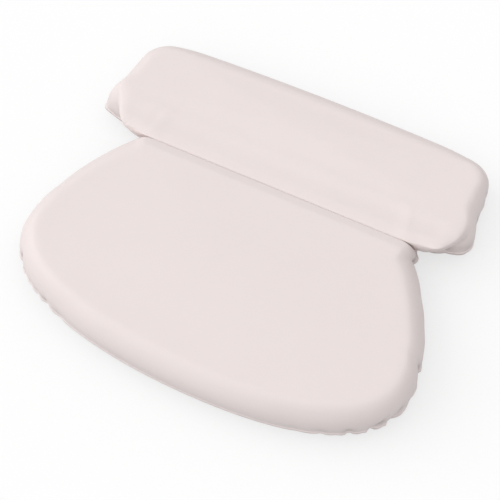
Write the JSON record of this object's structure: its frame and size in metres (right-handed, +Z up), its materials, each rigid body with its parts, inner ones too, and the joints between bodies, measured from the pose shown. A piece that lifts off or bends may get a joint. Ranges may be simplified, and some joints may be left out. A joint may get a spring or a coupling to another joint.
{
  "type": "bath pillow",
  "caption": "Two-panel padded bath pillow: round-ended lower panel and straight upper panel folding along a web, on suction cups.",
  "frame": {"origin": "under the middle of the pillow, in the plane of the suction cups' lips", "axes": "+X along the pillow's width, +Y from the round end of the lower panel to the upper panel, +Z up out of the padded side"},
  "size_m": [0.3782, 0.319, 0.0545],
  "materials": {
    "cover": "matte coated fabric, off-white",
    "foam": "open-cell foam",
    "cup": "clear gloss soft plastic",
    "eyelet": "satin"
  },
  "bodies": {
    "lower_panel": {"lower_front_skin": "cover", "lower_foam_core": "foam", "lower_back_sheet": "cover", "hinge_web": "cover", "eyelet_lower_hinge_left": "eyelet", "eyelet_lower_hinge_right": "eyelet", "eyelet_lower_end_left": "eyelet", "eyelet_lower_end_right": "eyelet"},
    "upper_panel": {"upper_front_skin": "cover", "upper_foam_core": "foam", "upper_back_sheet": "cover", "eyelet_upper_left": "eyelet", "eyelet_upper_middle": "eyelet", "eyelet_upper_right": "eyelet"},
    "cup_lower_hinge_left": {"suction_cup_lower_hinge_left": "cup"},
    "cup_lower_hinge_right": {"suction_cup_lower_hinge_right": "cup"},
    "cup_lower_end_left": {"suction_cup_lower_end_left": "cup"},
    "cup_lower_end_right": {"suction_cup_lower_end_right": "cup"},
    "cup_upper_left": {"suction_cup_upper_left": "cup"},
    "cup_upper_middle": {"suction_cup_upper_middle": "cup"},
    "cup_upper_right": {"suction_cup_upper_right": "cup"}
  },
  "joints": [
    {"name": "panel_fold", "type": "hinge", "parent": "lower_panel", "child": "upper_panel", "pos_m": [0, 0.049, 0.01525], "axis": [-1, 0, 0], "range_deg": [-25, 120], "deforming": ["hinge_web"]},
    {"name": "spin_lower_hinge_left", "type": "hinge", "parent": "lower_panel", "child": "cup_lower_hinge_left", "pos_m": [-0.105, -0.0045, 0.006], "axis": [0, 0, 1], "continuous": true},
    {"name": "spin_lower_hinge_right", "type": "hinge", "parent": "lower_panel", "child": "cup_lower_hinge_right", "pos_m": [0.105, -0.0045, 0.006], "axis": [0, 0, 1], "continuous": true},
    {"name": "spin_lower_end_left", "type": "hinge", "parent": "lower_panel", "child": "cup_lower_end_left", "pos_m": [-0.085, -0.1075, 0.006], "axis": [0, 0, 1], "continuous": true},
    {"name": "spin_lower_end_right", "type": "hinge", "parent": "lower_panel", "child": "cup_lower_end_right", "pos_m": [0.085, -0.1075, 0.006], "axis": [0, 0, 1], "continuous": true},
    {"name": "spin_upper_left", "type": "hinge", "parent": "upper_panel", "child": "cup_upper_left", "pos_m": [-0.125, 0.1075, 0.006], "axis": [0, 0, 1], "continuous": true},
    {"name": "spin_upper_middle", "type": "hinge", "parent": "upper_panel", "child": "cup_upper_middle", "pos_m": [0, 0.1075, 0.006], "axis": [0, 0, 1], "continuous": true},
    {"name": "spin_upper_right", "type": "hinge", "parent": "upper_panel", "child": "cup_upper_right", "pos_m": [0.125, 0.1075, 0.006], "axis": [0, 0, 1], "continuous": true}
  ]
}
